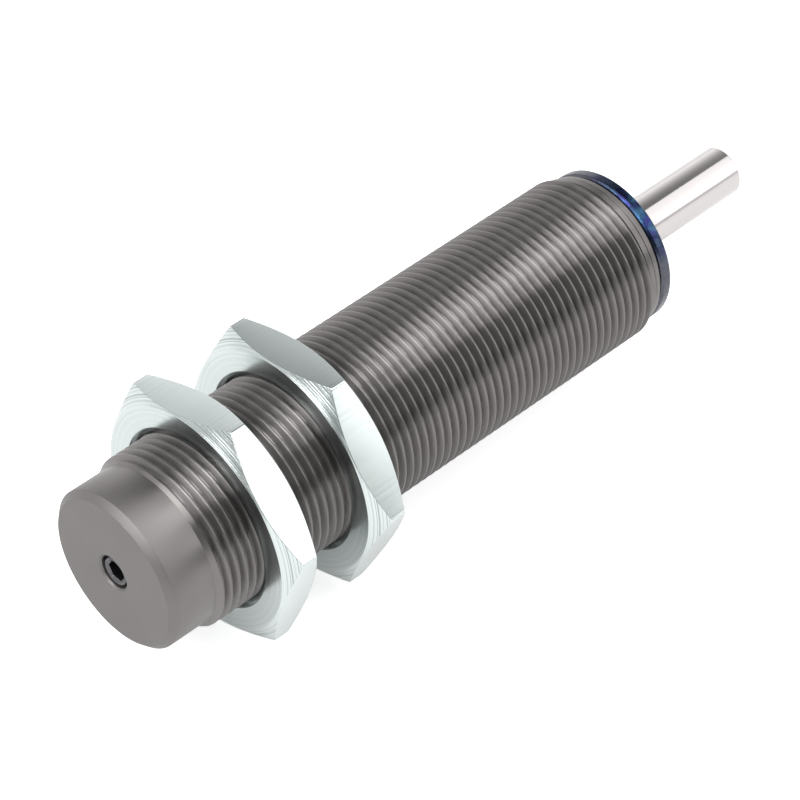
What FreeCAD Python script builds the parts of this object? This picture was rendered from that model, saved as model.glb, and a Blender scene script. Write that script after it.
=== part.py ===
import FreeCAD, Part
import math
import os

# Industrial shock absorber with a threaded body, its rod pointing along +X.
# The origin is the centre of the tail face, +Z is up, and every length is in millimetres.

# Body
BODY_LENGTH = 99.0
THREAD_DIAMETER = 27.0
THREAD_PITCH = 1.5
THREAD_DEPTH_PER_PITCH = 0.6134
TAIL_LENGTH = 7.6
TAIL_CHAMFER = 1.0
TAIL_WALL = 8.0
BORE_DIAMETER = 21.0
FRONT_LAND_DIAMETER = 25.8
FRONT_LAND_LENGTH = 1.5
FRONT_RIM_LENGTH = 1.1
FRONT_RIM_CHAMFER = 0.5

# Oil filling port in the tail
PLUG_DIAMETER = 5.0
PLUG_LENGTH = 4.0
PLUG_RECESS = 0.4
PLUG_CHAMFER = 0.4
PLUG_SOCKET_ACROSS_FLATS = 2.5
PLUG_SOCKET_DEPTH = 2.4
PLUG_SEAL_THICKNESS = 0.8
PORT_DIAMETER = 2.4
PORT_MOUTH_CHAMFER = 0.2

# Stroke and rod
STROKE = 25.0
ROD_DIAMETER = 8.0
ROD_TIP_CHAMFER = 0.2
ROD_SPIGOT_DIAMETER = 6.0
ROD_SPIGOT_LENGTH = 4.0

# Pressure chamber
OIL_JACKET = 0.6
PRESSURE_TUBE_WALL = 0.9
PRESSURE_TUBE_SOCKET = 3.0
ORIFICE_DIAMETER = 1.0
ORIFICE_COUNT = 6
ORIFICE_ANGLE = 100.0
ORIFICE_CROWDING = 1.5
RETURN_PORT_DIAMETER = 2.0
RETURN_PORT_COUNT = 3

# Piston and its check valve
PISTON_LAND = 5.0
PISTON_NECK_LENGTH = 7.3
PISTON_NECK_DIAMETER = 13.2
PISTON_RING_WIDTH = 1.5
PISTON_RING_DEPTH = 1.1
PISTON_RING_SPLIT = 0.6
RING_GROOVE_FROM_TAIL = 1.8
CHECK_BALL_DIAMETER = 3.0
CHECK_BALL_LIFT = 0.5
VALVE_POCKET_DIAMETER = 4.0
VALVE_PORT_DIAMETER = 1.9
VALVE_CROSS_HOLE_DIAMETER = 1.6
VALVE_CROSS_HOLE_COUNT = 2
RETAINER_DIAMETER = 5.4
RETAINER_THICKNESS = 0.6
RETAINER_SLOT_WIDTH = 0.8

# Return spring and its two seats
SPRING_WIRE = 1.0
SPRING_CLEARANCE = 1.0
ACTIVE_COIL_COUNT = 6.5
END_COIL_COUNT = 1.0
SPRING_SEAT_THICKNESS = 2.0
SPRING_GUIDE_THICKNESS = 0.8
SPRING_PILOT_LENGTH = 2.0
SPRING_PILOT_WALL = 1.2
WIRE_SIDE_COUNT = 6
COIL_STEP_COUNT = 16

# Gland: rebound stop, bearing, foam, seals and collar
STOP_THICKNESS = 1.5
BEARING_LENGTH = 18.0
BEARING_FLANGE = 3.0
BEARING_WAIST_DIAMETER = 12.8
OIL_SLOT_DIAMETER = 2.4
OIL_SLOT_COUNT = 4
COLLAR_DIAMETER = 25.1
COLLAR_FLANGE = 2.0
COLLAR_CHAMFER = 0.35
COLLAR_SPIGOT = 8.8
COLLAR_WEB = 2.4
SEAL_POCKET_DIAMETER = 14.0
SEAL_POCKET_DEPTH = 4.6
BACKUP_RING_THICKNESS = 1.0
SEAL_REBATE_DEPTH = 1.5
SEAL_REBATE_WIDTH = 2.0
SCRAPER_DIAMETER = 13.0
SCRAPER_LIP = 1.0
SCRAPER_RECESS = 0.4

# Lock nuts
NUT_ACROSS_FLATS = 36.0
NUT_THICKNESS = 6.0
NUT_FACE_DIAMETER = 35.8
NUT_CHAMFER_ANGLE = 30.0
NUT_COUNTERSINK_DIAMETER = 28.9
REAR_NUT_FROM_TAIL = 15.0
NUT_SPACING = 10.3
REAR_NUT_ANGLE = 48.0
FRONT_NUT_ANGLE = 55.0

# Clearances: radial running and slip fits, an axial assembly gap, and a gap where parts never meet
RUNNING_FIT = 0.03
SLIP_FIT = 0.05
AXIAL_GAP = 0.05
LOOSE_GAP = 0.3

# Lengths and radii that follow from the sizes above
thread_radius = THREAD_DIAMETER / 2
thread_root_radius = thread_radius - THREAD_PITCH * THREAD_DEPTH_PER_PITCH
bore_radius = BORE_DIAMETER / 2
pressure_tube_radius = bore_radius - OIL_JACKET
chamber_radius = pressure_tube_radius - PRESSURE_TUBE_WALL
rod_radius = ROD_DIAMETER / 2
rod_passage_radius = rod_radius + RUNNING_FIT
rod_relief_radius = rod_radius + LOOSE_GAP
plug_radius = PLUG_DIAMETER / 2
plug_hole_depth = PLUG_RECESS + PLUG_LENGTH + PLUG_SEAL_THICKNESS + 2 * AXIAL_GAP

collar_shoulder = BODY_LENGTH - COLLAR_FLANGE
tube_end = collar_shoulder - AXIAL_GAP
spigot_end = collar_shoulder - COLLAR_SPIGOT
bearing_front = spigot_end - AXIAL_GAP
bearing_rear = bearing_front - BEARING_LENGTH
stop_rear = bearing_rear - AXIAL_GAP - STOP_THICKNESS
chamber_floor = TAIL_WALL

piston_front = stop_rear - AXIAL_GAP
piston_shoulder = piston_front - PISTON_NECK_LENGTH
piston_tail = piston_shoulder - PISTON_LAND
spring_front = piston_tail - AXIAL_GAP - SPRING_GUIDE_THICKNESS
spring_rear = chamber_floor + AXIAL_GAP + SPRING_SEAT_THICKNESS
spring_outer_radius = chamber_radius - SPRING_CLEARANCE
spring_mean_radius = spring_outer_radius - SPRING_WIRE / 2
spring_pilot_radius = spring_outer_radius - SPRING_WIRE - LOOSE_GAP

ball_radius = CHECK_BALL_DIAMETER / 2
pocket_radius = VALVE_POCKET_DIAMETER / 2
port_radius = VALVE_PORT_DIAMETER / 2
ball_centre = piston_tail + RETAINER_THICKNESS + 2 * AXIAL_GAP + CHECK_BALL_LIFT + ball_radius
seat_start = ball_centre + ball_radius * math.hypot(1, 1) - pocket_radius + RUNNING_FIT
seat_end = seat_start + pocket_radius - port_radius

rear_nut_start = REAR_NUT_FROM_TAIL
front_nut_start = rear_nut_start + NUT_THICKNESS + NUT_SPACING

ORIGIN = FreeCAD.Vector(0, 0, 0)
ROD_AXIS = FreeCAD.Vector(1, 0, 0)
FULL_TURN = 360.0
HEXAGON_SIDES = 6


def turned(outline):
    """A solid of revolution about the rod axis, from a closed outline of (x, radius) points."""
    points = [FreeCAD.Vector(x, 0, radius) for x, radius in outline]
    face = Part.Face(Part.makePolygon(points + points[:1]))
    return face.revolve(ORIGIN, ROD_AXIS, FULL_TURN)


def ring(start, end, inner_radius, outer_radius):
    """A plain ring about the rod axis."""
    return turned([(start, inner_radius), (end, inner_radius), (end, outer_radius), (start, outer_radius)])


def rod(start, end, radius):
    """A plain round bar on the rod axis."""
    return Part.makeCylinder(radius, end - start, FreeCAD.Vector(start, 0, 0), ROD_AXIS)


def turned_about_axis(shape, degrees):
    """A copy of a shape, turned about the rod axis."""
    copy = shape.copy()
    copy.rotate(ORIGIN, ROD_AXIS, degrees)
    return copy


def radial_hole(x, diameter, reach, degrees):
    """A drill that enters square to the rod axis at the given angle and stops on the axis."""
    drill = Part.makeCylinder(diameter / 2, reach, FreeCAD.Vector(x, 0, 0), FreeCAD.Vector(0, 1, 0))
    return turned_about_axis(drill, degrees)


def corner_radius(across_flats):
    """Distance from a hexagon's centre to its corners."""
    return across_flats / 2 / math.cos(math.pi / HEXAGON_SIDES)


def hexagon_bar(across_flats, start, length, degrees):
    """A hexagonal bar along the rod axis with one corner at the given angle from +Y."""
    corners = []
    for side in range(HEXAGON_SIDES):
        angle = math.radians(degrees + side * FULL_TURN / HEXAGON_SIDES)
        across = corner_radius(across_flats) * math.cos(angle)
        up = corner_radius(across_flats) * math.sin(angle)
        corners.append(FreeCAD.Vector(start, across, up))
    face = Part.Face(Part.makePolygon(corners + corners[:1]))
    return face.extrude(FreeCAD.Vector(length, 0, 0))


def outer_tube():
    """Steel body turned from bar. Its thread is a plain cylinder, tail and rim are as slim as its root."""
    tail_radius = thread_root_radius
    land_radius = FRONT_LAND_DIAMETER / 2
    rim_radius = thread_root_radius
    rim_start = tube_end - FRONT_RIM_LENGTH
    land_start = rim_start - FRONT_LAND_LENGTH
    socket_radius = pressure_tube_radius + SLIP_FIT
    socket_end = chamber_floor + PRESSURE_TUBE_SOCKET
    body = turned([
        (0, 0),
        (0, tail_radius - TAIL_CHAMFER),
        (TAIL_CHAMFER, tail_radius),
        (TAIL_LENGTH, tail_radius),
        (TAIL_LENGTH + thread_radius - tail_radius, thread_radius),
        (land_start - thread_radius + land_radius, thread_radius),
        (land_start, land_radius),
        (rim_start, land_radius),
        (rim_start, rim_radius),
        (tube_end - FRONT_RIM_CHAMFER, rim_radius),
        (tube_end, rim_radius - FRONT_RIM_CHAMFER),
        (tube_end, bore_radius),
        (socket_end, bore_radius),
        (socket_end, socket_radius),
        (chamber_floor, socket_radius),
        (chamber_floor, 0),
    ])
    hole_radius = plug_radius + SLIP_FIT
    port = turned([
        (0, 0),
        (0, hole_radius + PORT_MOUTH_CHAMFER),
        (PORT_MOUTH_CHAMFER, hole_radius),
        (plug_hole_depth, hole_radius),
        (plug_hole_depth, PORT_DIAMETER / 2),
        (chamber_floor, PORT_DIAMETER / 2),
        (chamber_floor, 0),
    ])
    return body.cut(port)


def fill_plug():
    """Hexagon socket set screw that closes the oil filling port, its face just below the tail face."""
    end = PLUG_RECESS + PLUG_LENGTH
    screw = turned([
        (PLUG_RECESS, 0),
        (PLUG_RECESS, plug_radius - PLUG_CHAMFER),
        (PLUG_RECESS + PLUG_CHAMFER, plug_radius),
        (end, plug_radius),
        (end, 0),
    ])
    return screw.cut(hexagon_bar(PLUG_SOCKET_ACROSS_FLATS, PLUG_RECESS, PLUG_SOCKET_DEPTH, 0))


def fill_plug_seal():
    """Soft washer that the plug presses onto the step round the oil port."""
    start = PLUG_RECESS + PLUG_LENGTH + AXIAL_GAP
    return ring(start, start + PLUG_SEAL_THICKNESS, PORT_DIAMETER / 2, plug_radius)


def pressure_tube():
    """Hardened inner tube. Its orifices crowd towards the stroke's end, its return ports are in front."""
    tube = ring(chamber_floor + AXIAL_GAP, bearing_rear - AXIAL_GAP, chamber_radius, pressure_tube_radius)
    drills = []
    last_stop = piston_tail - STROKE
    for hole in range(ORIFICE_COUNT):
        share = (hole + 1) / (ORIFICE_COUNT + 1)
        x = last_stop + STROKE * share**ORIFICE_CROWDING
        drills.append(radial_hole(x, ORIFICE_DIAMETER, bore_radius, hole * ORIFICE_ANGLE))
    port_x = (piston_shoulder + stop_rear) / 2
    for hole in range(RETURN_PORT_COUNT):
        angle = hole * FULL_TURN / RETURN_PORT_COUNT
        drills.append(radial_hole(port_x, RETURN_PORT_DIAMETER, bore_radius, angle))
    return tube.cut(drills)


def spring_cup(seat, way, flange_radius, thickness):
    """A flange for the spring's end at seat, with a short pilot inside the coils. way is +1 or -1 along X."""
    bore = spring_pilot_radius - SPRING_PILOT_WALL
    return turned([
        (seat - way * thickness, bore),
        (seat - way * thickness, flange_radius),
        (seat, flange_radius),
        (seat, spring_pilot_radius),
        (seat + way * SPRING_PILOT_LENGTH, spring_pilot_radius),
        (seat + way * SPRING_PILOT_LENGTH, bore),
    ])


def spring_seat():
    """Fixed steel seat on the chamber floor, held round its edge by the pressure tube."""
    return spring_cup(spring_rear, 1, chamber_radius - SLIP_FIT, SPRING_SEAT_THICKNESS)


def spring_guide():
    """Steel cup on the back of the piston that takes the spring's moving end."""
    return spring_cup(spring_front, -1, spring_outer_radius, SPRING_GUIDE_THICKNESS)


def return_spring():
    """Compression spring of round wire with a closed turn at each end, drawn as short straight runs."""
    turns = ACTIVE_COIL_COUNT + 2 * END_COIL_COUNT
    wire_radius = SPRING_WIRE / 2
    first = spring_rear + AXIAL_GAP + wire_radius
    last = spring_front - AXIAL_GAP - wire_radius
    closed_rise = END_COIL_COUNT * SPRING_WIRE
    active_rise = last - first - 2 * closed_rise
    steps = round(turns * COIL_STEP_COUNT)
    sections = []
    for step in range(steps + 1):
        turn = turns * step / steps
        at_start = min(turn, END_COIL_COUNT) / END_COIL_COUNT
        at_end = max(turn - turns + END_COIL_COUNT, 0) / END_COIL_COUNT
        active = min(max(turn - END_COIL_COUNT, 0), ACTIVE_COIL_COUNT) / ACTIVE_COIL_COUNT
        centre = first + closed_rise * (at_start + at_end) + active_rise * active
        round_axis = 2 * math.pi * turn
        corners = []
        for side in range(WIRE_SIDE_COUNT):
            round_wire = 2 * math.pi * side / WIRE_SIDE_COUNT
            x = centre + wire_radius * math.sin(round_wire)
            radius = spring_mean_radius + wire_radius * math.cos(round_wire)
            corners.append(FreeCAD.Vector(x, radius * math.cos(round_axis), radius * math.sin(round_axis)))
        sections.append(Part.makePolygon(corners + corners[:1]))
    return Part.makeLoft(sections, True, True)


def piston_head():
    """Steel piston: grooved land, slim neck for the rod, ball pocket in the tail, cross holes in the neck."""
    groove_start = piston_tail + RING_GROOVE_FROM_TAIL
    groove_end = groove_start + PISTON_RING_WIDTH + 2 * AXIAL_GAP
    land_radius = chamber_radius - SLIP_FIT
    groove_radius = chamber_radius - PISTON_RING_DEPTH - 2 * SLIP_FIT
    recess_radius = RETAINER_DIAMETER / 2 + SLIP_FIT
    recess_end = piston_tail + RETAINER_THICKNESS + AXIAL_GAP
    cross_x = piston_shoulder + VALVE_CROSS_HOLE_DIAMETER
    port_end = cross_x + VALVE_CROSS_HOLE_DIAMETER / 2 + LOOSE_GAP
    spigot_bottom = piston_front - ROD_SPIGOT_LENGTH - AXIAL_GAP
    spigot_radius = ROD_SPIGOT_DIAMETER / 2 + SLIP_FIT
    piston = turned([
        (piston_tail, recess_radius),
        (piston_tail, land_radius),
        (groove_start, land_radius),
        (groove_start, groove_radius),
        (groove_end, groove_radius),
        (groove_end, land_radius),
        (piston_shoulder, land_radius),
        (piston_shoulder, PISTON_NECK_DIAMETER / 2),
        (piston_front, PISTON_NECK_DIAMETER / 2),
        (piston_front, spigot_radius),
        (spigot_bottom, spigot_radius),
        (spigot_bottom, 0),
        (port_end, 0),
        (port_end, port_radius),
        (seat_end, port_radius),
        (seat_start, pocket_radius),
        (recess_end, pocket_radius),
        (recess_end, recess_radius),
    ])
    drills = []
    for hole in range(VALVE_CROSS_HOLE_COUNT):
        angle = hole * FULL_TURN / VALVE_CROSS_HOLE_COUNT
        drills.append(radial_hole(cross_x, VALVE_CROSS_HOLE_DIAMETER, chamber_radius, angle))
    return piston.cut(drills)


def piston_ring():
    """Split iron ring in the piston's groove."""
    start = piston_tail + RING_GROOVE_FROM_TAIL + AXIAL_GAP
    outer_radius = chamber_radius - RUNNING_FIT
    whole = ring(start, start + PISTON_RING_WIDTH, outer_radius - PISTON_RING_DEPTH, outer_radius)
    corner = FreeCAD.Vector(start, -PISTON_RING_SPLIT / 2, 0)
    split = Part.makeBox(PISTON_RING_WIDTH, PISTON_RING_SPLIT, chamber_radius, corner)
    return whole.cut(split)


def check_ball():
    """Steel ball that seals the piston's port on the way in and lifts on the way out."""
    return Part.makeSphere(ball_radius, FreeCAD.Vector(ball_centre, 0, 0))


def ball_retainer():
    """Slotted disc staked into the piston's tail. It holds the ball in its pocket and lets oil pass."""
    disc = rod(piston_tail, piston_tail + RETAINER_THICKNESS, RETAINER_DIAMETER / 2)
    slot_length = VALVE_POCKET_DIAMETER
    slot_corner = FreeCAD.Vector(piston_tail, -slot_length / 2, -RETAINER_SLOT_WIDTH / 2)
    slot = Part.makeBox(RETAINER_THICKNESS, slot_length, RETAINER_SLOT_WIDTH, slot_corner)
    return disc.cut([slot, turned_about_axis(slot, FULL_TURN / 4)])


def piston_rod():
    """Ground and chromed rod with a broken edge at the tip and a spigot that screws into the piston."""
    tip = BODY_LENGTH + STROKE
    spigot_radius = ROD_SPIGOT_DIAMETER / 2
    return turned([
        (piston_front - ROD_SPIGOT_LENGTH, 0),
        (piston_front - ROD_SPIGOT_LENGTH, spigot_radius),
        (piston_front, spigot_radius),
        (piston_front, rod_radius),
        (tip - ROD_TIP_CHAMFER, rod_radius),
        (tip, rod_radius - ROD_TIP_CHAMFER),
        (tip, 0),
    ])


def rebound_stop():
    """Hardened washer in the front end of the pressure tube that the piston comes to rest on."""
    return ring(stop_rear, stop_rear + STOP_THICKNESS, rod_relief_radius, chamber_radius - SLIP_FIT)


def rod_bearing():
    """Bronze bearing: a flange at each end, a waist for the foam and oil slots through the rear flange."""
    flange_radius = bore_radius - SLIP_FIT
    waist_radius = BEARING_WAIST_DIAMETER / 2
    bearing = turned([
        (bearing_rear, rod_passage_radius),
        (bearing_rear, flange_radius),
        (bearing_rear + BEARING_FLANGE, flange_radius),
        (bearing_rear + BEARING_FLANGE, waist_radius),
        (bearing_front - BEARING_FLANGE, waist_radius),
        (bearing_front - BEARING_FLANGE, flange_radius),
        (bearing_front, flange_radius),
        (bearing_front, rod_passage_radius),
    ])
    slots = []
    for number in range(OIL_SLOT_COUNT):
        place = FreeCAD.Vector(bearing_rear, 0, bore_radius)
        slot = Part.makeCylinder(OIL_SLOT_DIAMETER / 2, BEARING_FLANGE, place, ROD_AXIS)
        slots.append(turned_about_axis(slot, number * FULL_TURN / OIL_SLOT_COUNT))
    return bearing.cut(slots)


def accumulator_foam():
    """Closed-cell foam sleeve round the bearing's waist. It gives way to the oil that the rod displaces."""
    start = bearing_rear + BEARING_FLANGE + LOOSE_GAP
    end = bearing_front - BEARING_FLANGE - LOOSE_GAP
    return ring(start, end, BEARING_WAIST_DIAMETER / 2 + LOOSE_GAP, bore_radius - LOOSE_GAP)


def stopper_collar():
    """Blued steel collar screwed into the body's front end. Its flange is the stop for the moving mass."""
    flange_radius = COLLAR_DIAMETER / 2
    spigot_radius = bore_radius - SLIP_FIT
    rebate_end = spigot_end + SEAL_REBATE_WIDTH
    rebate_radius = spigot_radius - SEAL_REBATE_DEPTH
    seal_pocket_radius = SEAL_POCKET_DIAMETER / 2
    seal_pocket_end = spigot_end + SEAL_POCKET_DEPTH
    scraper_pocket_radius = SCRAPER_DIAMETER / 2 + SLIP_FIT
    scraper_pocket_start = seal_pocket_end + COLLAR_WEB
    return turned([
        (spigot_end, seal_pocket_radius),
        (spigot_end, rebate_radius),
        (rebate_end, rebate_radius),
        (rebate_end, spigot_radius),
        (collar_shoulder, spigot_radius),
        (collar_shoulder, flange_radius - COLLAR_CHAMFER),
        (collar_shoulder + COLLAR_CHAMFER, flange_radius),
        (BODY_LENGTH - COLLAR_CHAMFER, flange_radius),
        (BODY_LENGTH, flange_radius - COLLAR_CHAMFER),
        (BODY_LENGTH, scraper_pocket_radius),
        (scraper_pocket_start, scraper_pocket_radius),
        (scraper_pocket_start, rod_relief_radius),
        (seal_pocket_end, rod_relief_radius),
        (seal_pocket_end, seal_pocket_radius),
    ])


def seal_backup_ring():
    """Hard ring between the rod seal and the collar's web, so that oil pressure can't push the seal out."""
    end = spigot_end + SEAL_POCKET_DEPTH - AXIAL_GAP
    return ring(end - BACKUP_RING_THICKNESS, end, rod_passage_radius, SEAL_POCKET_DIAMETER / 2 - SLIP_FIT)


def rod_seal():
    """Lip seal in the collar's rear pocket, its open side towards the oil."""
    start = spigot_end + AXIAL_GAP
    end = spigot_end + SEAL_POCKET_DEPTH - BACKUP_RING_THICKNESS - 2 * AXIAL_GAP
    outer_radius = SEAL_POCKET_DIAMETER / 2 - SLIP_FIT
    middle_radius = (outer_radius + rod_passage_radius) / 2
    middle = (start + end) / 2
    return turned([
        (start, rod_passage_radius),
        (end, rod_passage_radius),
        (end, outer_radius),
        (start, outer_radius),
        (middle, middle_radius),
    ])


def gland_seal_ring():
    """Sealing ring in the collar's rebate that keeps oil from creeping out along the body's bore."""
    end = spigot_end + SEAL_REBATE_WIDTH - AXIAL_GAP
    outer_radius = bore_radius - SLIP_FIT
    return ring(spigot_end, end, outer_radius - SEAL_REBATE_DEPTH + SLIP_FIT, outer_radius)


def rod_scraper():
    """Wiper in the collar's front pocket. Its lip runs on the rod and keeps dirt out."""
    start = spigot_end + SEAL_POCKET_DEPTH + COLLAR_WEB + AXIAL_GAP
    end = BODY_LENGTH - SCRAPER_RECESS
    heel_radius = rod_passage_radius + SCRAPER_LIP
    return turned([
        (start, rod_relief_radius),
        (start, SCRAPER_DIAMETER / 2),
        (end - SCRAPER_LIP, SCRAPER_DIAMETER / 2),
        (end - SCRAPER_LIP, heel_radius),
        (end, rod_relief_radius),
        (end, rod_passage_radius),
    ])


def lock_nut(start, degrees):
    """Thin hexagon nut, chamfered on both faces. Its plain bore clears the thread and is countersunk."""
    end = start + NUT_THICKNESS
    face_radius = NUT_FACE_DIAMETER / 2
    outer_radius = corner_radius(NUT_ACROSS_FLATS)
    chamfer = (outer_radius - face_radius) * math.tan(math.radians(NUT_CHAMFER_ANGLE))
    bore = thread_radius + SLIP_FIT
    mouth = NUT_COUNTERSINK_DIAMETER / 2
    countersink = mouth - bore
    blank = turned([
        (start, mouth),
        (start, face_radius),
        (start + chamfer, outer_radius),
        (end - chamfer, outer_radius),
        (end, face_radius),
        (end, mouth),
        (end - countersink, bore),
        (start + countersink, bore),
    ])
    return blank.common(hexagon_bar(NUT_ACROSS_FLATS, start, NUT_THICKNESS, degrees))


def rear_lock_nut():
    """The nut behind the mounting plate."""
    return lock_nut(rear_nut_start, REAR_NUT_ANGLE)


def front_lock_nut():
    """The nut in front of the mounting plate."""
    return lock_nut(front_nut_start, FRONT_NUT_ANGLE)


PIECES = [
    outer_tube,
    fill_plug,
    fill_plug_seal,
    pressure_tube,
    spring_seat,
    return_spring,
    spring_guide,
    piston_head,
    piston_ring,
    check_ball,
    ball_retainer,
    piston_rod,
    rebound_stop,
    rod_bearing,
    accumulator_foam,
    rod_seal,
    seal_backup_ring,
    gland_seal_ring,
    stopper_collar,
    rod_scraper,
    rear_lock_nut,
    front_lock_nut,
]

os.makedirs("parts", exist_ok=True)
for piece in PIECES:
    piece().exportStep(f"parts/{piece.__name__}.step")
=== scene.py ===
import math

import bmesh
import bpy
from mathutils import Matrix, Vector


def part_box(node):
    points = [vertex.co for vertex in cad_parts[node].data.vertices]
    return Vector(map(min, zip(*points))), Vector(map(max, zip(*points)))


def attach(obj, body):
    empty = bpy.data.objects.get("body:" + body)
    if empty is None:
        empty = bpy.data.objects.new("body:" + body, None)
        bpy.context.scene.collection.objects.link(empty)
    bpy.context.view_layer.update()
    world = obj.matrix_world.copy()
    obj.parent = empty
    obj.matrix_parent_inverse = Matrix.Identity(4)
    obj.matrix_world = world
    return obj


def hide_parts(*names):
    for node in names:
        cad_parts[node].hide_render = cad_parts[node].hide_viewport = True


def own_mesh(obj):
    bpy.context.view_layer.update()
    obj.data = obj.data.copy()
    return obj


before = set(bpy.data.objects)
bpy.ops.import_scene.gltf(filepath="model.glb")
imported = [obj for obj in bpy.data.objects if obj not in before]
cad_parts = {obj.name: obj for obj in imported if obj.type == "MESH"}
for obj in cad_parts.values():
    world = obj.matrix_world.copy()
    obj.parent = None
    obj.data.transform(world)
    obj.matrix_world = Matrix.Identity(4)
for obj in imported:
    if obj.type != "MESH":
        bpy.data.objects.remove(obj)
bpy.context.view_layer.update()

# Outer tube
# The body that everything else screws or slides into. It is turned from steel bar, threaded over most of its
# length, and left with a smooth tail. A thin dark coating with a satin gloss covers it all.
MM = 0.001
THREAD_RADIUS = 13.5
THREAD_PITCH = 1.5
THREAD_DEPTH = 0.92
CREST_AT_START = -0.02
THREAD_START = 7.6
THREAD_END = 94.35
TAIL_RADIUS = 12.58
LAND_RADIUS = 12.9
BORE_RADIUS = 10.5
PORT_RADIUS = 2.65
OIL_HOLE_RADIUS = 1.2
MARKS_START = 1.0
MARKS_FULL = 9.0
STEPS_AROUND = 96
# One pitch of the thread from crest to crest: share of the pitch, share of the depth.
GROOVE = (
    (0.000, 0.000), (0.065, 0.003), (0.090, 0.025), (0.120, 0.085), (0.255, 0.480), (0.390, 0.880),
    (0.435, 0.965), (0.500, 1.000), (0.565, 0.965), (0.610, 0.880), (0.745, 0.480), (0.880, 0.085),
    (0.910, 0.025), (0.935, 0.003),
)


def linear(hex_colour):
    """A colour written as sRGB hex, as the linear values that a shader takes."""
    shares = [int(hex_colour[place:place + 2], 16) / 255 for place in (0, 2, 4)]
    return [s / 12.92 if s <= 0.04045 else ((s + 0.055) / 1.055) ** 2.4 for s in shares] + [1.0]


def give(tree, node, inputs):
    """Gives each named input of a node its value, or another node's output to follow."""
    for name, value in inputs.items():
        if isinstance(value, bpy.types.NodeSocket):
            tree.links.new(value, node.inputs[name])
        else:
            node.inputs[name].default_value = value


def add(tree, kind, inputs=None, **settings):
    """Adds one node with its settings and its inputs."""
    node = tree.nodes.new(kind)
    for name, value in settings.items():
        setattr(node, name, value)
    give(tree, node, inputs or {})
    return node


def calc(tree, operation, *terms):
    """One step of arithmetic on values and outputs."""
    return add(tree, "ShaderNodeMath", dict(enumerate(terms)), operation=operation).outputs[0]


def spread(tree, value, low, high, first=0.0, last=1.0, **settings):
    """Maps a value that runs from first to last onto the range from low to high."""
    return add(tree, "ShaderNodeMapRange", {
        "Value": value, "From Min": first, "From Max": last, "To Min": low, "To Max": high,
    }, **settings).outputs[0]


def noise(tree, place, scale, detail, roughness=0.5):
    """A noise pattern. A scale for each axis, in place of one, draws it out into lines."""
    if isinstance(scale, tuple):
        place = add(tree, "ShaderNodeMapping", {"Vector": place, "Scale": scale}).outputs[0]
        scale = 1.0
    return add(tree, "ShaderNodeTexNoise", {
        "Vector": place, "Scale": scale, "Detail": detail, "Roughness": roughness,
    }).outputs[0]


def blend(tree, share, one, other):
    """The colour between two colours."""
    mix = add(tree, "ShaderNodeMix", {"Factor": share, "A": one, "B": other}, data_type="RGBA")
    return mix.outputs["Result"]


def bump(tree, height, strength, distance):
    """Fine relief that only the light sees. The distance is in metres."""
    return add(tree, "ShaderNodeBump", {
        "Height": height, "Strength": strength, "Distance": distance,
    }).outputs[0]


def new_material(name):
    """A material, its tree, its Principled surface, and the place in object space."""
    material = bpy.data.materials.new(name)
    material.use_nodes = True
    tree = material.node_tree
    place = add(tree, "ShaderNodeTexCoord").outputs["Object"]
    return material, tree, tree.nodes["Principled BSDF"], place


def rounded(outline):
    """Points (x, radius, fillet) in millimetres, with each filleted corner drawn as a short arc."""
    points = []
    for number, (x, radius, *fillet) in enumerate(outline):
        if not fillet:
            points.append((x, radius))
            continue
        here = Vector((x, radius))
        back = Vector(outline[number - 1][:2]) - here
        ahead = Vector(outline[(number + 1) % len(outline)][:2]) - here
        reach = min(fillet[0], back.length / 2, ahead.length / 2)
        first = here + back.normalized() * reach
        final = here + ahead.normalized() * reach
        for step in range(5):
            share = step / 4
            from_first = (1 - share) ** 2 * first + 2 * share * (1 - share) * here
            points.append(tuple(from_first + share ** 2 * final))
    return points


def turned(name, outline_at, closed=True, angles=None):
    """An object turned about the rod axis. outline_at gives the outline in millimetres at each angle."""
    angles = angles or [math.tau * step / STEPS_AROUND for step in range(STEPS_AROUND)]
    mesh = bmesh.new()
    rows = []
    for angle in angles:
        row = []
        for x, radius in rounded(outline_at(angle) if callable(outline_at) else outline_at):
            row.append(mesh.verts.new((x * MM, radius * MM * math.cos(angle), radius * MM * math.sin(angle))))
        rows.append(row)
    for one, other in zip(rows, rows[1:] + rows[:1]):
        count = len(one)
        for spot in range(count if closed else count - 1):
            mesh.faces.new((one[spot], one[(spot + 1) % count], other[(spot + 1) % count], other[spot]))
    result = bpy.data.meshes.new(name)
    mesh.to_mesh(result)
    mesh.free()
    piece = bpy.data.objects.new(name, result)
    bpy.context.scene.collection.objects.link(piece)
    return piece


def finish(piece, material, body, slot, *nodes, crease=32):
    """Closes the mesh, points its faces outwards, shades it smooth, and puts it in its nodes' place."""
    mesh = bmesh.new()
    mesh.from_mesh(piece.data)
    bmesh.ops.remove_doubles(mesh, verts=mesh.verts, dist=1e-7)
    bmesh.ops.dissolve_degenerate(mesh, edges=mesh.edges, dist=1e-7)
    bmesh.ops.recalc_face_normals(mesh, faces=mesh.faces)
    mesh.to_mesh(piece.data)
    mesh.free()
    piece.data.shade_smooth()
    piece.data.set_sharp_from_angle(angle=math.radians(crease))
    piece.data.materials.clear()
    piece.data.materials.append(material)
    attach(piece, body)
    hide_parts(*nodes)


def grow(piece, tree, values):
    """Runs a geometry tree on the piece once and keeps its result as a plain mesh."""
    modifier = piece.modifiers.new(tree.name, "NODES")
    modifier.node_group = tree
    for item in tree.interface.items_tree:
        if item.in_out == "INPUT" and item.name in values:
            modifier[item.identifier] = values[item.name]
    shape = piece.evaluated_get(bpy.context.evaluated_depsgraph_get())
    mesh = bpy.data.meshes.new_from_object(shape)
    piece.modifiers.remove(modifier)
    piece.data = mesh


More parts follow.
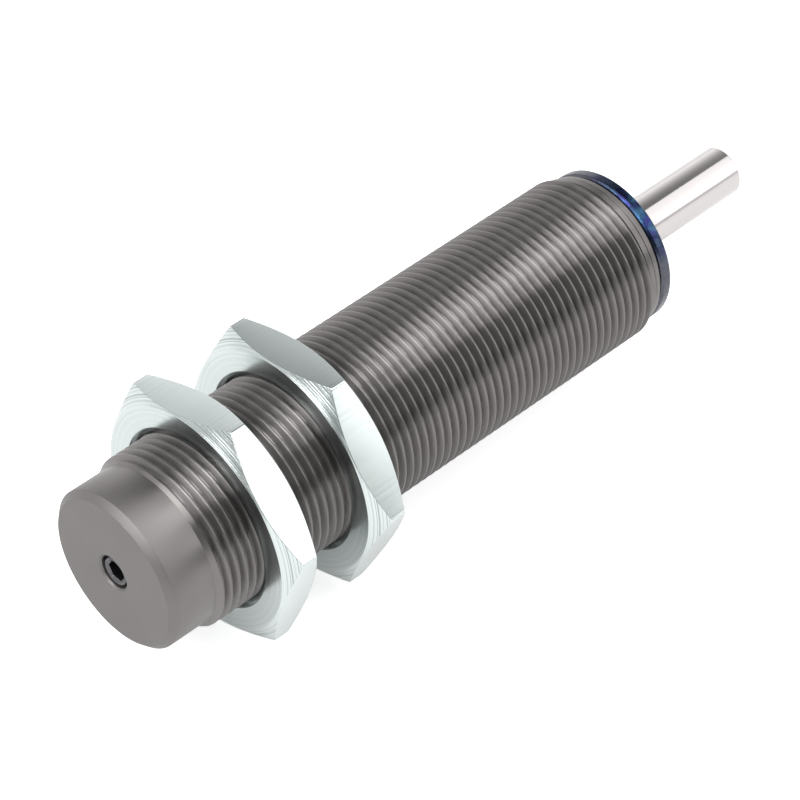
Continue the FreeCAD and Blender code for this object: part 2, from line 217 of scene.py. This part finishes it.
def new_tree(name, inputs):
    """A geometry tree with a geometry input, the named inputs, and a geometry output."""
    tree = bpy.data.node_groups.new(name, "GeometryNodeTree")
    tree.interface.new_socket("Geometry", in_out="INPUT", socket_type="NodeSocketGeometry")
    for label, kind in inputs.items():
        tree.interface.new_socket(label, in_out="INPUT", socket_type="NodeSocket" + kind)
    tree.interface.new_socket("Geometry", in_out="OUTPUT", socket_type="NodeSocketGeometry")
    return tree, add(tree, "NodeGroupInput").outputs


def end_tree(tree, geometry, given):
    """Ends a geometry tree: its instances made real and its material set."""
    real = add(tree, "GeometryNodeRealizeInstances", {"Geometry": geometry}).outputs[0]
    coated = add(tree, "GeometryNodeSetMaterial", {"Geometry": real, "Material": given["Material"]})
    add(tree, "NodeGroupOutput", {"Geometry": coated.outputs[0]})


# Coated steel: a thin dark conversion coating on turned steel, a grey film with a metallic sheen. The turning
# marks run round the axis and smear every reflection across them, which is what lights whole flanks of the
# thread. They grow along the tail, whose end face is even. Slow clouds and fine lines break up the grey.
coated_steel, tree, shader, place = new_material("coated_steel")
cloud = noise(tree, place, 160.0, 3.0)
along = add(tree, "ShaderNodeSeparateXYZ", {0: place}).outputs["X"]
marked = spread(tree, along, 0.0, 1.0, MARKS_START * MM, MARKS_FULL * MM)
rough = calc(tree, "MULTIPLY_ADD", marked, -0.2, 0.47)
lines = noise(tree, place, (9000.0, 500.0, 500.0), 2.0)
give(tree, shader, {
    "Metallic": 0.9,
    "Base Color": blend(tree, cloud, linear("757271"), linear("7f7c7b")),
    "Roughness": calc(tree, "MULTIPLY_ADD", cloud, 0.06, rough),
    "Anisotropic": marked,
    "Anisotropic Rotation": 0.25,
    "Tangent": add(tree, "ShaderNodeTangent", direction_type="RADIAL", axis="X").outputs[0],
    "Normal": bump(tree, lines, 0.08, 0.00001),
})

# The smooth tail with its port and oil hole, the bore, the front rim and the front land. The outline is open
# between the land and the tail, where the thread goes.
outer_tube = turned("threaded_body", [
    (THREAD_START, TAIL_RADIUS),
    (1.0, TAIL_RADIUS, 0.08),
    (0.0, 11.58, 0.08),
    (0.0, PORT_RADIUS + 0.3, 0.04),
    (0.3, PORT_RADIUS, 0.04),
    (5.3, PORT_RADIUS),
    (5.3, OIL_HOLE_RADIUS),
    (8.0, OIL_HOLE_RADIUS),
    (8.0, 9.95),
    (11.0, 9.95),
    (11.0, BORE_RADIUS),
    (96.95, BORE_RADIUS),
    (96.95, 12.0),
    (96.5, 12.0),
    (96.5, 12.55, 0.1),
    (95.5, 12.75, 0.05),
    (95.42, 12.4),
    (95.32, 12.4),
    (95.3, LAND_RADIUS, 0.06),
    (THREAD_END, LAND_RADIUS),
], closed=False)

# A grid of one column for each groove point and one row for each step around is wound into the helix. It is
# held between the tail and the land, where the groove runs out.
tree, given = new_tree("cut_thread", {
    "Pitch": "Float", "Outer radius": "Float", "Depth": "Float", "Crest at start": "Float",
    "Start": "Float", "Start radius": "Float", "End": "Float", "End radius": "Float",
    "Turns": "Int", "Steps around": "Int", "Material": "Material",
})
groove_steps = len(GROOVE)
columns = calc(tree, "MULTIPLY", given["Turns"], groove_steps)
rows = given["Steps around"]
grid = add(tree, "GeometryNodeMeshGrid", {
    "Size X": columns,
    "Size Y": rows,
    "Vertices X": calc(tree, "ADD", columns, 1.0),
    "Vertices Y": calc(tree, "ADD", rows, 1.0),
}).outputs[0]
spot = add(tree, "ShaderNodeSeparateXYZ", {0: add(tree, "GeometryNodeInputPosition").outputs[0]})
along = calc(tree, "MULTIPLY_ADD", columns, 0.5, spot.outputs["X"])
across = calc(tree, "MULTIPLY_ADD", rows, 0.5, spot.outputs["Y"])
column = calc(tree, "ROUND", along)
turn = calc(tree, "DIVIDE", across, rows)
ratio = calc(tree, "DIVIDE", column, groove_steps)
pitches = calc(tree, "FLOOR", calc(tree, "ADD", ratio, 0.001))
step = calc(tree, "MULTIPLY_ADD", pitches, -groove_steps, column)
shares = []
for part in (0, 1):
    choice = tree.nodes.new("GeometryNodeIndexSwitch")
    choice.data_type = "FLOAT"
    while len(choice.index_switch_items) < groove_steps:
        choice.index_switch_items.new()
    for number, pair in enumerate(GROOVE):
        choice.inputs[number + 1].default_value = pair[part]
    tree.links.new(step, choice.inputs["Index"])
    shares.append(choice.outputs[0])
travel = calc(tree, "ADD", calc(tree, "ADD", pitches, shares[0]), turn)
free_x = calc(tree, "MULTIPLY_ADD", travel, given["Pitch"], given["Crest at start"])
x = add(tree, "ShaderNodeClamp", {"Value": free_x, "Min": given["Start"], "Max": given["End"]}).outputs[0]
depth = calc(tree, "MULTIPLY", shares[1], given["Depth"])
radius = calc(tree, "SUBTRACT", given["Outer radius"], depth)
for label, sign in (("Start", 1.0), ("End", -1.0)):
    gone = calc(tree, "SUBTRACT", x, given[label])
    rise = calc(tree, "MULTIPLY_ADD", gone, sign, given[label + " radius"])
    radius = calc(tree, "MINIMUM", radius, rise)
past = calc(tree, "GREATER_THAN", free_x, given["End"])
radius = add(tree, "ShaderNodeMix", {"Factor": past, "A": radius, "B": given["End radius"]}).outputs["Result"]
angle = calc(tree, "MULTIPLY", turn, math.tau)
target = add(tree, "ShaderNodeCombineXYZ", {
    "X": x,
    "Y": calc(tree, "MULTIPLY", calc(tree, "COSINE", angle), radius),
    "Z": calc(tree, "MULTIPLY", calc(tree, "SINE", angle), radius),
}).outputs[0]
wound = add(tree, "GeometryNodeSetPosition", {"Geometry": grid, "Position": target}).outputs[0]
both = tree.nodes.new("GeometryNodeJoinGeometry")
tree.links.new(given["Geometry"], both.inputs[0])
tree.links.new(wound, both.inputs[0])
sewn = add(tree, "GeometryNodeMergeByDistance", {"Geometry": both.outputs[0], "Distance": 2e-6})
end_tree(tree, sewn.outputs[0], given)

skipped_turns = math.floor(THREAD_START / THREAD_PITCH) - 1
grow(outer_tube, tree, {
    "Pitch": THREAD_PITCH * MM,
    "Outer radius": THREAD_RADIUS * MM,
    "Depth": THREAD_DEPTH * MM,
    "Crest at start": (CREST_AT_START + skipped_turns * THREAD_PITCH) * MM,
    "Start": THREAD_START * MM,
    "Start radius": TAIL_RADIUS * MM,
    "End": THREAD_END * MM,
    "End radius": LAND_RADIUS * MM,
    "Turns": math.ceil(THREAD_END / THREAD_PITCH) + 1 - skipped_turns,
    "Steps around": STEPS_AROUND,
    "Material": coated_steel,
})
finish(outer_tube, coated_steel, "body", "coated_steel", "outer_tube")

# Fill plug and its seal
# A hexagon socket set screw of black oxide steel that closes the port the oil is filled through. It sits just
# below the tail face on a soft washer.
SOCKET_FLATS = 2.9
# Black oxide steel: a thin oiled black finish that still lets the metal shine through.
black_oxide, tree, shader, place = new_material("black_oxide_steel")
cloud = noise(tree, place, 900.0, 2.0)
give(tree, shader, {
    "Metallic": 1.0,
    "Base Color": blend(tree, cloud, linear("5c5b5e"), linear("6e6d70")),
    "Roughness": spread(tree, cloud, 0.25, 0.45),
})


def hexagon_radius(angle, across_flats, corner_angle, corner_round=0.0):
    """Distance from a hexagon's centre to its edge at an angle, with its corners rounded."""
    off_corner = (angle - corner_angle + math.pi / 6) % (math.pi / 3) - math.pi / 6
    edge = across_flats / 2 / math.cos(math.pi / 6 - abs(off_corner))
    centre = (across_flats / 2 - corner_round) / math.cos(math.pi / 6)
    reach = corner_round ** 2 - (centre * math.sin(off_corner)) ** 2
    if reach <= 0:
        return edge
    return min(edge, centre * math.cos(off_corner) + math.sqrt(reach))


def plug_outline(angle):
    """The set screw's outline, whose socket is a hexagon down to a drilled cone."""
    socket = hexagon_radius(angle, SOCKET_FLATS, 0)
    return [
        (2.8, socket), (0.7, socket), (0.4, 1.95, 0.03), (0.4, 2.1, 0.03), (0.55, 2.25, 0.03), (1.4, 2.25),
        (1.4, 2.5), (4.4, 2.5), (4.4, 0.0), (3.3, 0.0), (2.8, SOCKET_FLATS / 2 - 0.05),
    ]


fill_plug = turned("fill_plug_screw", plug_outline)
finish(fill_plug, black_oxide, "body", "black_steel", "fill_plug")


def dress(material, *nodes):
    """Gives CAD nodes that stay as they are their finish."""
    for name in nodes:
        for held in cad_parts[name].material_slots:
            held.material = material


# Moulded nitrile rubber: near black, dull, with a faint pebble from the mould.
nitrile_rubber, tree, shader, place = new_material("nitrile_rubber")
pebble = noise(tree, place, 3000.0, 2.0)
give(tree, shader, {
    "Base Color": blend(tree, pebble, linear("1b1b1c"), linear("262627")),
    "Roughness": 0.6,
    "IOR": 1.52,
    "Normal": bump(tree, pebble, 0.3, 0.00002),
})
dress(nitrile_rubber, "fill_plug_seal")

# Pressure tube, spring seats, piston and rebound stop
# The hardened and ground parts that work in oil: the inner tube with its metering holes, the cups that carry
# the spring, the piston with its valve, and the washer that ends the return stroke.
hardened_steel, tree, shader, place = new_material("hardened_steel")
lines = noise(tree, place, (6000.0, 400.0, 400.0), 3.0)
give(tree, shader, {
    "Metallic": 1.0,
    "Base Color": blend(tree, lines, linear("a8a6a4"), linear("c0bebc")),
    "Roughness": spread(tree, lines, 0.18, 0.32),
})
dress(hardened_steel, "pressure_tube", "spring_seat", "spring_guide", "piston_head", "rebound_stop")
dress(hardened_steel, "ball_retainer")

# Check ball and piston ring
# A polished bearing ball that lifts off its seat in the piston, and a split ring of grey iron in the groove.
ball_steel, tree, shader, place = new_material("ball_steel")
wear = noise(tree, place, 1500.0, 3.0)
give(tree, shader, {
    "Metallic": 1.0,
    "Base Color": blend(tree, wear, linear("d0d0d2"), linear("dededf")),
    "Roughness": spread(tree, wear, 0.04, 0.1),
})
dress(ball_steel, "check_ball")
ring_iron, tree, shader, place = new_material("ring_iron")
grain = noise(tree, place, 4000.0, 2.0)
give(tree, shader, {
    "Metallic": 1.0,
    "Base Color": blend(tree, grain, linear("77767a"), linear("8b8a8c")),
    "Roughness": spread(tree, grain, 0.35, 0.5),
})
dress(ring_iron, "piston_ring")

# Return spring
# Drawn round wire, coiled with a closed turn at each end. It pushes the piston and the rod back out. In the
# damper it shortens as the rod goes in; here it is built once, at one length, between its seats on the body.
SPRING_WIRE = 1.0
ACTIVE_COILS = 6.5
CLOSED_COILS = 1.0
POINTS_PER_COIL = 40
# Spring steel: bright drawn wire with the faint unevenness of the die.
spring_steel, tree, shader, place = new_material("spring_steel")
drawn = noise(tree, place, 1800.0, 3.0)
give(tree, shader, {
    "Metallic": 1.0,
    "Base Color": blend(tree, drawn, linear("8e8d90"), linear("a3a2a4")),
    "Roughness": spread(tree, drawn, 0.25, 0.4),
})

tree, given = new_tree("coil_wire", {
    "Wire radius": "Float", "Coil radius": "Float", "First": "Float", "Last": "Float",
    "Active coils": "Float", "Closed coils": "Float", "Points": "Int", "Material": "Material",
})
turns = calc(tree, "MULTIPLY_ADD", given["Closed coils"], 2.0, given["Active coils"])
strung = add(tree, "GeometryNodeMeshLine", {"Count": given["Points"]}).outputs[0]
number = add(tree, "GeometryNodeInputIndex").outputs[0]
steps = calc(tree, "SUBTRACT", given["Points"], 1.0)
turn = calc(tree, "MULTIPLY", calc(tree, "DIVIDE", number, steps), turns)
wire = calc(tree, "MULTIPLY", given["Wire radius"], 2.0)
closed = calc(tree, "MULTIPLY", wire, given["Closed coils"])
near_end = calc(tree, "ADD", given["First"], closed)
far_end = calc(tree, "SUBTRACT", given["Last"], closed)
open_until = calc(tree, "ADD", given["Closed coils"], given["Active coils"])
rise = calc(tree, "SUBTRACT", far_end, near_end)
start_part = spread(tree, turn, given["First"], near_end, 0.0, given["Closed coils"])
open_part = spread(tree, turn, 0.0, rise, given["Closed coils"], open_until)
end_part = spread(tree, turn, 0.0, closed, open_until, turns)
angle = calc(tree, "MULTIPLY", turn, math.tau)
target = add(tree, "ShaderNodeCombineXYZ", {
    "X": calc(tree, "ADD", calc(tree, "ADD", start_part, open_part), end_part),
    "Y": calc(tree, "MULTIPLY", calc(tree, "COSINE", angle), given["Coil radius"]),
    "Z": calc(tree, "MULTIPLY", calc(tree, "SINE", angle), given["Coil radius"]),
}).outputs[0]
bent = add(tree, "GeometryNodeSetPosition", {"Geometry": strung, "Position": target}).outputs[0]
line = add(tree, "GeometryNodeMeshToCurve", {"Mesh": bent}).outputs[0]
ring = add(tree, "GeometryNodeCurvePrimitiveCircle", {"Resolution": 14, "Radius": given["Wire radius"]})
swept = add(tree, "GeometryNodeCurveToMesh", {
    "Curve": line, "Profile Curve": ring.outputs[0], "Fill Caps": True,
}).outputs[0]
end_tree(tree, swept, given)

low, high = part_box("return_spring")
return_spring = bpy.data.objects.new("return_spring_wire", bpy.data.meshes.new("return_spring_wire"))
bpy.context.scene.collection.objects.link(return_spring)
grow(return_spring, tree, {
    "Wire radius": SPRING_WIRE / 2 * MM,
    "Coil radius": high[1] - SPRING_WIRE / 2 * MM,
    "First": low[0] + SPRING_WIRE / 2 * MM,
    "Last": high[0] - SPRING_WIRE / 2 * MM,
    "Active coils": ACTIVE_COILS,
    "Closed coils": CLOSED_COILS,
    "Points": round((ACTIVE_COILS + 2 * CLOSED_COILS) * POINTS_PER_COIL) + 1,
    "Material": spring_steel,
})
finish(return_spring, spring_steel, "body", "spring_steel", "return_spring")
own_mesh(return_spring)

# Piston rod
# Ground steel rod, hard chromed and polished. It screws into the piston and comes out through the collar. The
# polishing leaves fine lines around it.
ROD_RADIUS = 4.0
ROD_END = 124.0
hard_chrome, tree, shader, place = new_material("hard_chrome")
lines = noise(tree, place, (20000.0, 900.0, 900.0), 2.0)
give(tree, shader, {
    "Metallic": 1.0,
    "Base Color": linear("c9c5c4"),
    "Roughness": spread(tree, lines, 0.08, 0.17),
})
piston_rod = turned("chromed_rod", [
    (64.55, 0.0), (64.55, 3.0), (68.55, 3.0), (68.55, ROD_RADIUS),
    (ROD_END, ROD_RADIUS, 0.25), (ROD_END, 0.0),
])
finish(piston_rod, hard_chrome, "rod", "hard_chrome", "piston_rod")

# Bearing, foam sleeve and seals
# The gland that guides the rod and keeps the oil in: a turned bronze bearing, a sleeve of closed-cell foam
# that takes up the oil the rod displaces, a lip seal backed by a hard ring, and a static ring.
bronze, tree, shader, place = new_material("bearing_bronze")
lines = noise(tree, place, (4000.0, 300.0, 300.0), 3.0)
give(tree, shader, {
    "Metallic": 1.0,
    "Base Color": blend(tree, lines, linear("b98a4a"), linear("cfa263")),
    "Roughness": spread(tree, lines, 0.22, 0.36),
})
dress(bronze, "rod_bearing")
# Foam rubber: closed cells, drawn as small pits, each with painted shade that darkens it towards its bottom.
foam_rubber, tree, shader, place = new_material("foam_rubber")
cells_and_pit_shade = add(tree, "ShaderNodeTexVoronoi", {"Vector": place, "Scale": 2500.0}).outputs["Distance"]
give(tree, shader, {
    "Base Color": blend(tree, cells_and_pit_shade, linear("343437"), linear("4c4c50")),
    "Roughness": 0.9,
    "Normal": bump(tree, cells_and_pit_shade, 0.6, 0.0001),
})
dress(foam_rubber, "accumulator_foam")
# Filled PTFE: a waxy off-white plastic with flecks of its filler.
filled_ptfe, tree, shader, place = new_material("filled_ptfe")
flecks = noise(tree, place, 2500.0, 2.0)
give(tree, shader, {
    "Base Color": blend(tree, flecks, linear("d8d4c8"), linear("e6e2d8")),
    "Roughness": 0.45,
    "IOR": 1.38,
})
dress(filled_ptfe, "seal_backup_ring")
dress(nitrile_rubber, "rod_seal", "gland_seal_ring")

# Stopper collar and scraper
# A steel collar, blued by heat, that screws into the tube's front end and stops the moving mass. The rubber
# scraper in its mouth wipes the rod.
# The side turned up towards the key lamp, where the blue of the painted sheen is strongest.
PAINTED_SHEEN_SIDE = (0.0, -0.47, 0.88)
FILM_AND_SHEEN_START = 10.5
FILM_AND_SHEEN_FULL = 14.5
# Blued steel: a film of heat blue, mottled in tone and burnt dark in patches. The blue is a painted sheen,
# strongest on the side turned up towards the key lamp and fading to grey away from it.
blued_steel, tree, shader, place = new_material("blued_steel")
height = add(tree, "ShaderNodeVectorMath", {0: place, 1: PAINTED_SHEEN_SIDE}, operation="DOT_PRODUCT")
cloud = noise(tree, place, 600.0, 3.0)
drift = calc(tree, "MULTIPLY_ADD", cloud, 0.004, height.outputs["Value"])
film_and_sheen = spread(tree, drift, 0.0, 1.0, FILM_AND_SHEEN_START * MM, FILM_AND_SHEEN_FULL * MM)
tint = spread(tree, cloud, 0.0, 1.0, 0.4, 0.6)
blue = blend(tree, tint, linear("2b5574"), linear("363a70"))
# Painted sheen: grey on the side away from the key lamp, blue towards it, its edge broken up by the cloud.
tone = blend(tree, film_and_sheen, linear("5f6068"), blue)
patch = noise(tree, place, 420.0, 5.0, 0.7)
# The burnt patches go deepest where the painted sheen is bluest.
deepest = calc(tree, "MULTIPLY_ADD", film_and_sheen, 0.6, 0.22)
burnt = spread(tree, patch, 0.0, deepest, 0.42, 0.58)
grain = noise(tree, place, 3600.0, 2.0)
give(tree, shader, {
    "Metallic": 1.0,
    "Base Color": blend(tree, burnt, tone, linear("1b1f2c")),
    "Roughness": spread(tree, grain, 0.15, 0.35),
    "Normal": bump(tree, grain, 0.3, 0.00004),
})
stopper_collar = turned("stop_collar", [
    (88.2, 7.0), (88.2, 8.95), (90.2, 8.95), (90.2, 10.45), (97.0, 10.45), (97.0, 12.2, 0.1),
    (97.35, 12.55, 0.1), (98.65, 12.55, 0.1), (99.0, 12.2, 0.1), (99.0, 6.6, 0.1), (95.2, 6.55), (95.2, 4.3),
    (92.8, 4.3), (92.8, 7.0),
])
finish(stopper_collar, blued_steel, "body", "blued_steel", "stopper_collar")
low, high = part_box("rod_scraper")
scraper_start, scraper_end, scraper_radius = low[0] / MM, high[0] / MM, high[1] / MM
rod_scraper = turned("scraper_lip", [
    (scraper_start, scraper_radius), (scraper_end - 1.0, scraper_radius, 0.1), (scraper_end - 1.0, 5.4, 0.1),
    (scraper_end - 0.5, 5.0, 0.15), (scraper_end, 4.35, 0.06), (scraper_end, 4.05, 0.03),
    (scraper_end - 1.2, 4.2), (scraper_start, 4.2),
])
finish(rod_scraper, nitrile_rubber, "body", "nitrile_rubber", "rod_scraper")

# Lock nuts
# Two thin hexagon nuts of zinc-plated steel that clamp the tube in a plate. They are cut from hexagon bar.
# Both faces are turned with a small step and a chamfer that takes the corners off, and the bore is
# countersunk.
NUT_FLATS = 36.0
NUT_THICKNESS = 6.0
NUT_FACE_RADIUS = 17.85
NUT_STEP = 0.09
NUT_CHAMFER_DEGREES = 30
NUT_MOUTH_RADIUS = 14.45
NUT_BORE_RADIUS = 13.55
NUT_CORNER_ROUND = 0.4
OFF_CORNER_DEGREES = (0, 0.2, 0.4, 0.6, 0.8, 1.2, 2, 4, 7, 10, 13, 16, 19, 22, 25, 28)
MARKS_ON_FLATS = 0.03
MARKS_ON_CHAMFERS = 0.6
MARKS_ON_FACES = 0.12
MARKS_PER_METRE = 4200.0
# Zinc plate: pale and slightly green, with rings from the turning tool under it. They are drawn somewhat
# coarser than the real ones. The attribute lathe_marks says how deep they are on each face.
zinc_plate, tree, shader, place = new_material("zinc_plate")
cloud = noise(tree, place, 90.0, 3.0)
tone = blend(tree, cloud, linear("c8d1d1"), linear("d6dddb"))
flat_on = add(tree, "ShaderNodeMapping", {"Vector": place, "Scale": (0.0, MARKS_PER_METRE, MARKS_PER_METRE)})
out = add(tree, "ShaderNodeVectorMath", {0: flat_on.outputs[0]}, operation="LENGTH").outputs["Value"]
rings = add(tree, "ShaderNodeTexNoise", {
    "W": out, "Scale": 1.0, "Detail": 3.0,
}, noise_dimensions="1D").outputs[0]
marks = add(tree, "ShaderNodeAttribute", attribute_name="lathe_marks").outputs["Fac"]
scored = calc(tree, "MULTIPLY", spread(tree, rings, 0.0, 1.0, 0.5, 0.62), marks)
give(tree, shader, {
    "Metallic": 1.0,
    "Base Color": blend(tree, scored, tone, linear("7d8484")),
    "Roughness": spread(tree, rings, 0.12, 0.28),
    "Normal": bump(tree, rings, marks, 0.00006),
})


def lock_nut(name, start, corner_degrees):
    """One lock nut in millimetres, with a corner at the given angle."""
    end = start + NUT_THICKNESS
    sink = NUT_MOUTH_RADIUS - NUT_BORE_RADIUS

    def outline(angle):
        edge = hexagon_radius(angle, NUT_FLATS, math.radians(corner_degrees), NUT_CORNER_ROUND)
        cut = NUT_STEP + (edge - NUT_FACE_RADIUS) * math.tan(math.radians(NUT_CHAMFER_DEGREES))
        ring = NUT_FACE_RADIUS - NUT_STEP
        return [
            (start + sink, NUT_BORE_RADIUS), (start, NUT_MOUTH_RADIUS, 0.06), (start, ring),
            (start + NUT_STEP, NUT_FACE_RADIUS), (start + cut, edge, 0.06), (end - cut, edge, 0.06),
            (end - NUT_STEP, NUT_FACE_RADIUS), (end, ring), (end, NUT_MOUTH_RADIUS, 0.06),
            (end - sink, NUT_BORE_RADIUS),
        ]

    degrees = set()
    for corner in range(6):
        for off in OFF_CORNER_DEGREES:
            degrees |= {corner * 60 + off + corner_degrees, corner * 60 - off + corner_degrees}
    nut = turned(name, outline, angles=[math.radians(step) for step in sorted(degrees)])
    marks = nut.data.attributes.new("lathe_marks", "FLOAT", "FACE")
    for face in nut.data.polygons:
        lean = abs(face.normal.x)
        depth = MARKS_ON_FLATS if lean < 0.3 else MARKS_ON_CHAMFERS if lean < 0.95 else MARKS_ON_FACES
        marks.data[face.index].value = depth
    return nut


for name, body, start, corner_degrees in (
    ("rear_lock_nut", "rear_nut", 15.0, 48),
    ("front_lock_nut", "front_nut", 31.3, 55),
):
    plated = lock_nut(name + "_plated", start, corner_degrees)
    finish(plated, zinc_plate, body, "zinc_plated_steel", name, crease=25)

# Studio
# White table, a large soft lamp on the right of the camera, four smaller ones, and a pale room that gets
# darker towards its ceiling and behind the camera. The camera's lens and place come from the photographed
# object's own sizes.
AZIMUTH = math.radians(-44.1619)
ELEVATION = math.radians(43.308)
DISTANCE = 491.1018
AIM = (55.0, 0.0, 0.0)
AIM_RIGHT = 0.2689
AIM_UP = 2.6352
FOCAL_PIXELS = 3394.2872
IMAGE_PIXELS = 800
SENSOR = 36.0
FLOOR_HEIGHT = -19.77
FLOOR_HALF = 3.0
AWAY = (0.697, 0.717, 0.0)
HORIZON = 1.42
CEILING = 0.16
GLOW_SIDE = (-0.4, 0.92, 0.0)
TABLE_GLOW_NEAR = 0.25
TABLE_GLOW_FAR = 0.2
TABLE_GLOW_SEEN = 0.7
LAMP_DISTANCE = 1.2
# Each lamp's name, direction from the object, width along the part, height, brightness as seen, and shape.
LAMPS = (
    ("key", (0.5, -0.5391, 0.6777), 1.2, 1.32, 1.35, "RECTANGLE"),
    ("fill", (-0.769, -0.026, 0.639), 0.6, 1.15, 4.3, "ELLIPSE"),
    ("top", (-0.363, -0.081, 0.928), 0.6, 0.42, 5.0, "ELLIPSE"),
    ("crest", (0.119, -0.151, 0.981), 0.4, 1.1, 4.6, "RECTANGLE"),
    ("side", (-0.548, 0.522, 0.653), 0.5, 0.7, 1.3, "ELLIPSE"),
)
backward = Vector((
    math.sin(AZIMUTH) * math.cos(ELEVATION), -math.cos(AZIMUTH) * math.cos(ELEVATION), math.sin(ELEVATION),
))
rightward = Vector((0, 0, 1)).cross(backward).normalized()
upward = backward.cross(rightward)
camera = bpy.data.objects.new("camera", bpy.data.cameras.new("camera"))
bpy.context.scene.collection.objects.link(camera)
camera.data.sensor_width = SENSOR
camera.data.lens = FOCAL_PIXELS / IMAGE_PIXELS * SENSOR
camera.data.clip_start = 0.01
stand = (Vector(AIM) + backward * DISTANCE - rightward * AIM_RIGHT - upward * AIM_UP) * MM
facing = Matrix((rightward, upward, backward)).transposed()
camera.matrix_world = Matrix.Translation(stand) @ facing.to_4x4()
bpy.context.scene.camera = camera
bpy.context.scene.view_settings.view_transform = "Standard"

floor_mesh = bpy.data.meshes.new("floor")
floor_mesh.from_pydata([
    (-FLOOR_HALF, -FLOOR_HALF, FLOOR_HEIGHT * MM), (FLOOR_HALF, -FLOOR_HALF, FLOOR_HEIGHT * MM),
    (FLOOR_HALF, FLOOR_HALF, FLOOR_HEIGHT * MM), (-FLOOR_HALF, FLOOR_HALF, FLOOR_HEIGHT * MM),
], [], [(0, 1, 2, 3)])
floor = bpy.data.objects.new("floor", floor_mesh)
bpy.context.scene.collection.objects.link(floor)
# White table: matt card. Its glow stands for the lit studio around it. The camera sees it white but for the
# object's shadow, and polished metal sees it a little brighter on the camera's side.
white_table, tree, shader, place = new_material("white_table")
behind = add(tree, "ShaderNodeVectorMath", {0: place, 1: GLOW_SIDE}, operation="DOT_PRODUCT").outputs["Value"]
path = add(tree, "ShaderNodeLightPath")
lit = spread(tree, behind, TABLE_GLOW_NEAR, TABLE_GLOW_FAR, -0.015, 0.02)
mirrored = calc(tree, "MULTIPLY", lit, path.outputs["Is Glossy Ray"])
seen = calc(tree, "MULTIPLY", TABLE_GLOW_SEEN, path.outputs["Is Camera Ray"])
give(tree, shader, {
    "Base Color": linear("dcdcdc"),
    "Roughness": 0.9,
    "Emission Color": (1.0, 1.0, 1.0, 1.0),
    "Emission Strength": calc(tree, "MAXIMUM", mirrored, seen),
})
floor_mesh.materials.append(white_table)

world = bpy.data.worlds.new("studio")
bpy.context.scene.world = world
world.use_nodes = True
tree = world.node_tree
direction = add(tree, "ShaderNodeTexCoord").outputs["Generated"]
height = add(tree, "ShaderNodeSeparateXYZ", {0: direction}).outputs["Z"]
fade = spread(tree, height, HORIZON, CEILING, 0.05, 0.92, interpolation_type="SMOOTHSTEP")
away = add(tree, "ShaderNodeVectorMath", {0: direction, 1: AWAY}, operation="DOT_PRODUCT").outputs["Value"]
dim = calc(tree, "POWER", calc(tree, "MULTIPLY_ADD", away, 0.5, 0.5), 0.6)
room = calc(tree, "MULTIPLY", fade, dim)
path = add(tree, "ShaderNodeLightPath")
give(tree, tree.nodes["Background"], {
    "Color": (1.0, 1.0, 1.0, 1.0),
    "Strength": calc(tree, "MAXIMUM", room, path.outputs["Is Camera Ray"]),
})

for name, toward, width, height, radiance, shape in LAMPS:
    lamp = bpy.data.lights.new(name, "AREA")
    lamp.shape = shape
    lamp.size = width
    lamp.size_y = height
    lamp.energy = radiance * math.pi * width * height
    holder = bpy.data.objects.new(name, lamp)
    bpy.context.scene.collection.objects.link(holder)
    way = Vector(toward).normalized()
    side = Vector((1, 0, 0))
    side = (side - way * side.dot(way)).normalized()
    facing = Matrix((side, way.cross(side), way)).transposed()
    holder.matrix_world = Matrix.Translation(way * LAMP_DISTANCE) @ facing.to_4x4()
